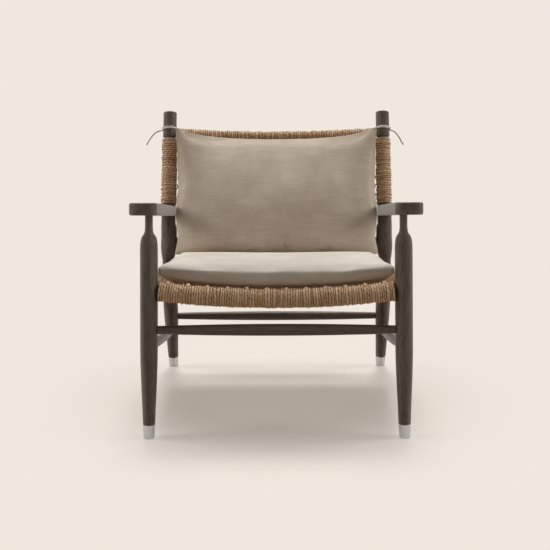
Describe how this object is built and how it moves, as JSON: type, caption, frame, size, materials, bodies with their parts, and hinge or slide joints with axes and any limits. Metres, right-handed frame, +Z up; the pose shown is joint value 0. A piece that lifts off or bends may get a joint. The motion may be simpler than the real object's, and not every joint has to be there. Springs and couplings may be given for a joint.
{
  "type": "lounge armchair",
  "caption": "Low wooden lounge armchair with turned legs, sloping paddle arms, cord-bound rails, a woven cord seat and back, and loose seat and tied back cushions.",
  "frame": {"origin": "on the floor below the middle of the chair's box", "axes": "+Z up, the chair faces -Y, its left arm (seen from the front) is at -X"},
  "size_m": [0.7662, 0.7072, 0.7731],
  "materials": {
    "stained_ash": "dark grey-brown stained ash, matt oiled",
    "paper_cord": "twisted paper rush cord, natural brown",
    "linen": "slubby greige linen",
    "tie_cord": "thin pale grey cotton cord",
    "ferrule_metal": "satin",
    "glide": "moulded nylon"
  },
  "bodies": {
    "frame": {"arm_left": "stained_ash", "arm_right": "stained_ash", "back_lower_binding": "paper_cord", "back_lower_rail": "stained_ash", "back_top_binding": "paper_cord", "back_top_rail": "stained_ash", "back_warp_cords": "paper_cord", "back_weft_cords": "paper_cord", "front_ferrule_left": "ferrule_metal", "front_ferrule_right": "ferrule_metal", "front_glide_left": "glide", "front_glide_right": "glide", "front_leg_left": "stained_ash", "front_leg_right": "stained_ash", "front_stretcher": "stained_ash", "post_binding_left": "paper_cord", "post_binding_right": "paper_cord", "rear_ferrule_left": "ferrule_metal", "rear_ferrule_right": "ferrule_metal", "rear_glide_left": "glide", "rear_glide_right": "glide", "rear_post_left": "stained_ash", "rear_post_right": "stained_ash", "rear_stretcher": "stained_ash", "seat_front_binding": "paper_cord", "seat_front_rail": "stained_ash", "seat_rear_binding": "paper_cord", "seat_rear_rail": "stained_ash", "seat_side_binding_left": "paper_cord", "seat_side_binding_right": "paper_cord", "seat_side_rail_left": "stained_ash", "seat_side_rail_right": "stained_ash", "seat_warp_cords": "paper_cord", "seat_weft_cords": "paper_cord", "side_stretcher_left": "stained_ash", "side_stretcher_right": "stained_ash", "tie_loop_left": "tie_cord", "tie_loop_right": "tie_cord", "tie_tail_left": "tie_cord", "tie_tail_right": "tie_cord"},
    "seat_cushion": {"seat_cushion": "linen"},
    "back_cushion": {"back_cushion": "linen"}
  },
  "joints": [
    {"name": "seat_cushion_slide", "type": "slide", "parent": "frame", "child": "seat_cushion", "axis": [0, -0.9882, 0.153], "range_m": [0, 0.6]},
    {"name": "back_cushion_lift", "type": "hinge", "parent": "frame", "child": "back_cushion", "pos_m": [0, 0.2822, 0.71624], "axis": [-1, 0, 0], "range_deg": [0, 28]}
  ]
}
